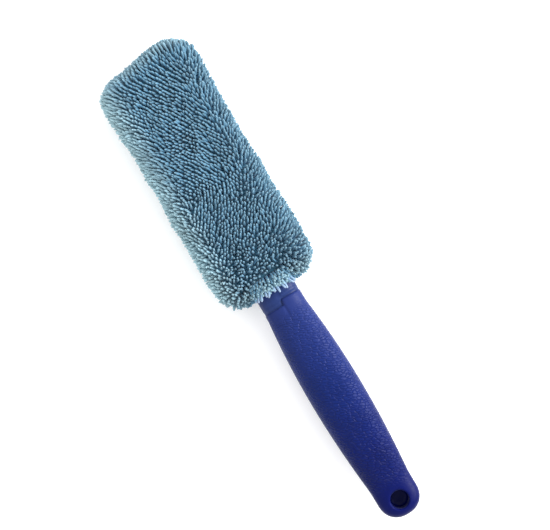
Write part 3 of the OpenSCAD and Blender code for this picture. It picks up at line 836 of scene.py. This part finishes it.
def make_bag():
    """The backing cloth: one bag with an outer and an inner face, open at the neck."""
    stations = head_stations(-90, 88, steps=40, ends=10)
    outer = full_layer(CLOTH_R, stations, around_steps=12, flat_steps=14)
    inner = full_layer(CLOTH_R - CLOTH_T, stations, around_steps=12, flat_steps=14)
    angle = np.arctan2(outer[0, :, 2] - MID_Z, outer[0, :, 0])
    mouth = np.stack([(NECK_W / 2 + MOUTH_GAP_X) * np.cos(angle), np.zeros(len(angle)),
                      (NECK_T / 2 + MOUTH_GAP_Z) * np.sin(angle)], -1)
    outer_mouth = mouth + [0, outer[0, :, 1].mean() - 0.2 * MM, MID_Z]
    inner_mouth = mouth + [0, inner[0, :, 1].mean(), MID_Z]
    obj = capped_loft("cover_cloth", np.concatenate([outer[::-1], [outer_mouth, inner_mouth], inner]))
    finish_piece(obj, "cover", CLOTH, "backing_cloth", "panel_front", "panel_back", "cuff_front",
                 "cuff_back")


def make_foam(label, half):
    """One foam pad: the CAD solid with soft edges and a slightly uneven crown."""
    solid = frame["nodes"][f"foam_{label}"]
    mesh = solid.data.copy()
    mesh.transform(solid.matrix_world)
    obj = bpy.data.objects.new(f"foam_pad_{label}", mesh)
    bpy.context.scene.collection.objects.link(obj)
    obj.modifiers.new("weld", "WELD").merge_threshold = 0.001 * MM
    soften(obj, voxel=0.9 * MM, rounds=8)
    points = point_array(obj)
    away = smooth(half * (points[:, 2] - MID_Z), FOAM_R - 3 * MM, FOAM_R)
    points[:, 2] += half * away * (0.25 * MM * waves(points, 24 * MM, 61) - 0.2 * MM)
    set_points(obj, points)
    shade_smooth(obj)
    finish_piece(obj, "handle", FOAM, "foam", f"foam_{label}")


def soften(obj, voxel, rounds):
    """Remakes a solid from small cells and rounds its edges."""
    remesh = obj.modifiers.new("remesh", "REMESH")
    remesh.mode = "VOXEL"
    remesh.voxel_size = voxel
    relax = obj.modifiers.new("relax", "SMOOTH")
    relax.factor = 0.5
    relax.iterations = rounds
    apply_modifiers(obj)


def cut(obj, cutter):
    """Takes cutter out of obj."""
    modifier = obj.modifiers.new("cut", "BOOLEAN")
    modifier.operation = "DIFFERENCE"
    modifier.object = cutter
    modifier.solver = "EXACT"
    apply_modifiers(obj)
    bpy.data.objects.remove(cutter)


# ---------------------------------------------------------------- handle

FULL_Y = GRIP_LOW.y + 96 * MM              # where the grip is fullest
WAIST_Y = GRIP_LOW.y + 26 * MM             # where it has thinned to the hanging end
RIM_STEP = 4.6 * MM                        # how far the rim's long half reaches past its short half
FRONT_Y = GRIP_HIGH.y - RIM_STEP - 5 * MM  # where the grip has thinned to its rim
RIM_PROUD_X = 0.25 * MM                    # how far the rim stands out from the neck
RIM_PROUD_Z = 0.8 * MM
TAPER_POWER = 1.9                          # how suddenly the grip thins to its hanging end
WAIST_W = 29.6 * MM
EYE_T = 16 * MM                            # thickness of the hanging end
END_POWER = 2.2                            # squareness of the hanging end's outline
END_SHARE = 0.16                           # share of the grip's rings in its round end
END_LENGTH = WAIST_W / 2
SKIN = 0.7 * MM                            # what smoothing takes off the grip's width
THINNEST = 0.4 * MM                        # size of the ring at the grip's very end
CREASE_W = 0.9 * MM                        # width of the mould crease down the handle
NECK_WALL = 2.2 * MM
SIDES = 96                                 # of the neck and of the hole


def oval(width, thick, sides):
    """Points of the handle's section."""
    angle = np.arange(sides) / sides * 2 * math.pi
    x = np.sign(np.cos(angle)) * np.abs(np.cos(angle)) ** (2 / OVAL_POWER) * width / 2
    z = np.sign(np.sin(angle)) * np.abs(np.sin(angle)) ** (2 / OVAL_POWER) * thick / 2
    return x, z


def neck_rings(grow, rows):
    """Rings along Y of the neck's oval, grown by grow."""
    x, z = oval(NECK_W + 2 * grow, NECK_T + 2 * grow, SIDES)
    y = np.linspace(NECK_LOW.y, NECK_HIGH.y, rows)
    return np.stack(np.broadcast_arrays(x, y[:, None], MID_Z - z), -1)


def swell(y, full, front, waist):
    """The grip's width or thickness along Y."""
    ahead = np.clip((y - FULL_Y) / (FRONT_Y - FULL_Y), 0, 1)
    behind = np.clip((FULL_Y - y) / (FULL_Y - WAIST_Y), 0, 1)
    return np.where(y > FULL_Y, full - (full - front) * ahead ** 2,
                    full - (full - waist) * behind ** TAPER_POWER)


def end_round(y, r):
    """The rounded end of the handle, as a share of its section."""
    return np.clip(1 - (np.clip(GRIP_LOW.y + r - y, 0, r) / r) ** END_POWER, 0, 1) ** (1 / END_POWER)


def grip_rings(rows, sides):
    """The grip's skin, from its hanging end to its rim."""
    u = np.linspace(0, 1, rows)
    end = 1 - np.cos(np.minimum(u / END_SHARE, 1) * math.pi / 2)
    rest = np.maximum(u - END_SHARE, 0) / (1 - END_SHARE)
    y = GRIP_LOW.y + end * END_LENGTH + rest * (GRIP_HIGH.y - GRIP_LOW.y - END_LENGTH)
    width = swell(y, GRIP_W + SKIN, NECK_W + 2 * RIM_PROUD_X, WAIST_W + SKIN) * end_round(y, WAIST_W / 2)
    thick = swell(y, GRIP_T, NECK_T + 2 * RIM_PROUD_Z, EYE_T) * end_round(y, EYE_T / 2)
    rings = []
    for yy, w, t in zip(y, width, thick):
        x, z = oval(max(w, THINNEST), max(t, THINNEST), sides)
        rings.append(np.stack([x, np.full(sides, yy), MID_Z - z], -1))
    return np.array(rings)


def lathe(name, profile):
    """A solid of revolution about Z at the origin; profile is a list of (radius, z) from bottom to top."""
    angle = np.arange(SIDES) / SIDES * 2 * math.pi
    rings = [np.stack([r * np.cos(angle), r * np.sin(angle), np.full(SIDES, z)], -1) for r, z in profile]
    return capped_loft(name, np.array(rings))


def hole_cutter():
    """The peg hole, sunk from the front face, with a rounded lip and a dished floor."""
    radius = HOLE["dims"]["r_mm"] * MM
    face = MID_Z + EYE_T / 2
    floor = HOLE["pos_m"][2] - HOLE["dims"]["length_mm"] / 2 * MM
    lip = 1.9 * MM
    dish = 1.6 * MM
    profile = [(radius * 0.6, floor), (radius * 0.92, floor + 0.5 * MM), (radius, floor + dish)]
    for turn in np.radians(np.linspace(0, 80, 9)):
        profile.append((radius + lip * (1 - math.cos(turn)), face - lip + lip * math.sin(turn)))
    profile.append((radius + 1.8 * lip, face + lip))
    obj = lathe("hole_cutter", profile)
    obj.location = (HOLE["pos_m"][0], HOLE["pos_m"][1], 0)
    return obj


def box_solid(name, low, high):
    """A plain block between two corners."""
    x0, y0, z0 = low
    x1, y1, z1 = high
    points = np.array([[x, y, z] for z in (z0, z1) for y in (y0, y1) for x in (x0, x1)])
    faces = np.array([[0, 2, 3, 1], [4, 5, 7, 6], [0, 1, 5, 4], [2, 6, 7, 3], [0, 4, 6, 2], [1, 3, 7, 5]])
    return mesh_object(name, points, [faces], False)


def rim_line(x):
    """Where the grip's stepped front rim runs at each x."""
    return GRIP_HIGH.y - RIM_STEP * (1 - smooth(x, -0.6 * MM, 0.6 * MM))


def make_grip():
    """The soft grip: a lofted skin with its hole, the stepped rim and a mould crease down its front."""
    obj = capped_loft("grip", grip_rings(rows=200, sides=128))
    cut(obj, hole_cutter())
    far = 60 * MM
    step_low = (-far, GRIP_HIGH.y - RIM_STEP, MID_Z - far)
    cut(obj, box_solid("rim_cutter", step_low, (0, GRIP_HIGH.y + far, MID_Z + far)))
    soften(obj, voxel=0.62 * MM, rounds=5)
    points = point_array(obj)
    x, y = points[:, 0], points[:, 1]
    crease = 0.55 * MM * smooth(y, -34 * MM, -16 * MM) * bell(x, CREASE_W)
    rounded = 0.55 * MM * smooth(y - rim_line(x), -2.6 * MM, 0) ** 2
    height = points[:, 2] - MID_Z
    points[:, 2] -= np.sign(height) * (crease + rounded) * smooth(np.abs(height), 0, 6 * MM)
    points[:, 0] *= 1 - rounded / (GRIP_W / 2)
    set_points(obj, points)
    shade_smooth(obj)
    finish_piece(obj, "handle", GRIP, "grip_rubber", "grip_shell")


def make_neck():
    """The smooth neck: a hollow oval sleeve with a centre crease, and a groove along the grip's stepped
    rim."""
    rows = 150
    outer = neck_rings(0, rows)
    inner = neck_rings(-NECK_WALL, rows)
    x, y = outer[..., 0], outer[..., 1]
    rim = rim_line(x)
    groove = 0.9 * MM * (1 - smooth(y - rim, 0.2 * MM, 2.6 * MM))
    crease = 0.45 * MM * bell(x, CREASE_W) * (1 - smooth(y, -6 * MM, 2 * MM))
    flute = 0.25 * MM * bell(y - rim - 4.2 * MM, 1.2 * MM)
    shrink = np.maximum(groove, crease) + flute
    outer[..., 0] *= 1 - 0.35 * shrink / (NECK_W / 2)
    outer[..., 2] = MID_Z + (outer[..., 2] - MID_Z) * (1 - shrink / (NECK_T / 2))
    rings = np.concatenate([outer, inner[::-1]])
    quads = ring_faces(len(rings) + 1, SIDES) % (len(rings) * SIDES)
    obj = mesh_object("neck", rings.reshape(-1, 3), [quads])
    finish_piece(obj, "handle", NECK, "neck_plastic", "neck_ferrule")


# ---------------------------------------------------------------- build

for label, half in (("front", 1), ("back", -1)):
    make_pile(label, half, (f"pile_{label}", f"cuff_pile_{label}"))
    make_fringe(label, half)
    make_foam(label, half)
make_bag()
make_grip()
make_neck()

for node, material in (("handle_core", CORE), ("tang_pins", STEEL), ("blade", BLADE),
                       ("edge_bumper", BUMPER), ("tape_front", TAPE), ("tape_back", TAPE),
                       ("seam_allowance", CLOTH), ("seam_stitches", THREAD), ("hem_tape", CLOTH),
                       ("hem_elastic", ELASTIC), ("hem_stitches", THREAD)):
    dress(node, material)

# ---------------------------------------------------------------- stage, light and camera

VIEW_TILT = math.radians(30.85)     # the brush leans this far from upright in the picture
VIEW_WIDTH = 0.3784                 # metres across the picture at the brush's middle plane
VIEW_SHIFT = (2.6 * MM, 13.1 * MM)  # the picture's centre from the brush's, right and up
LENS = 100.0
SENSOR = 36.0
FLOOR_HALF = 3.0                    # half the floor's width, in metres
FLOOR_T = 0.02
FLOOR_GAP = 0.2 * MM                # between the floor and the pile
KEY_SIZE = 1.3                      # the key light's width, in metres
KEY_POWER = 54                      # and its power, in watts


def make_floor():
    """The surface that the brush lies on."""
    floor = box_solid("floor", (-FLOOR_HALF, -FLOOR_HALF, -FLOOR_T), (FLOOR_HALF, FLOOR_HALF, -FLOOR_GAP))
    floor.data.materials.append(floor_material())


def area_light(name, at, target, size, power):
    """A round soft light at one point, turned towards another."""
    data = bpy.data.lights.new(name, "AREA")
    data.shape = "DISK"
    data.size = size
    data.energy = power
    light = bpy.data.objects.new(name, data)
    light.location = at
    light.rotation_euler = (Vector(target) - Vector(at)).to_track_quat("-Z", "Y").to_euler()
    bpy.context.scene.collection.objects.link(light)


def make_lights():
    """A soft key light from the picture's upper right, and a white surround that is dimmer overhead."""
    right = Vector((math.cos(VIEW_TILT), -math.sin(VIEW_TILT), 0))
    up = Vector((math.sin(VIEW_TILT), math.cos(VIEW_TILT), 0))
    area_light("key", right * 1.3 + up * 0.6 + Vector((0, 0, 0.8)), (0, 0, 0), KEY_SIZE, KEY_POWER)
    world = bpy.data.worlds.new("studio")
    world.use_nodes = True
    nodes, links = world.node_tree.nodes, world.node_tree.links
    place = nodes.new("ShaderNodeTexCoord")
    split = nodes.new("ShaderNodeSeparateXYZ")
    level = nodes.new("ShaderNodeMapRange")
    links.new(place.outputs["Generated"], split.inputs["Vector"])
    links.new(split.outputs["Z"], level.inputs["Value"])
    links.new(level.outputs["Result"], nodes["Background"].inputs["Strength"])
    for socket, value in (("From Min", 0.80), ("From Max", 0.98), ("To Min", 1.42), ("To Max", 1.02)):
        level.inputs[socket].default_value = value
    nodes["Background"].inputs["Color"].default_value = (1, 1, 1, 1)
    bpy.context.scene.world = world
    bpy.context.scene.view_settings.view_transform = "Standard"


def make_camera():
    """A long lens straight above, turned so that the brush leans to the upper left."""
    data = bpy.data.cameras.new("camera")
    data.lens = LENS
    data.sensor_width = SENSOR
    camera = bpy.data.objects.new("camera", data)
    c, s = math.cos(VIEW_TILT), math.sin(VIEW_TILT)
    right, up = VIEW_SHIFT
    camera.location = (right * c + up * s, -right * s + up * c, MID_Z + VIEW_WIDTH * LENS / SENSOR)
    camera.rotation_euler = (0, 0, -VIEW_TILT)
    bpy.context.scene.collection.objects.link(camera)
    bpy.context.scene.camera = camera


make_floor()
make_lights()
make_camera()
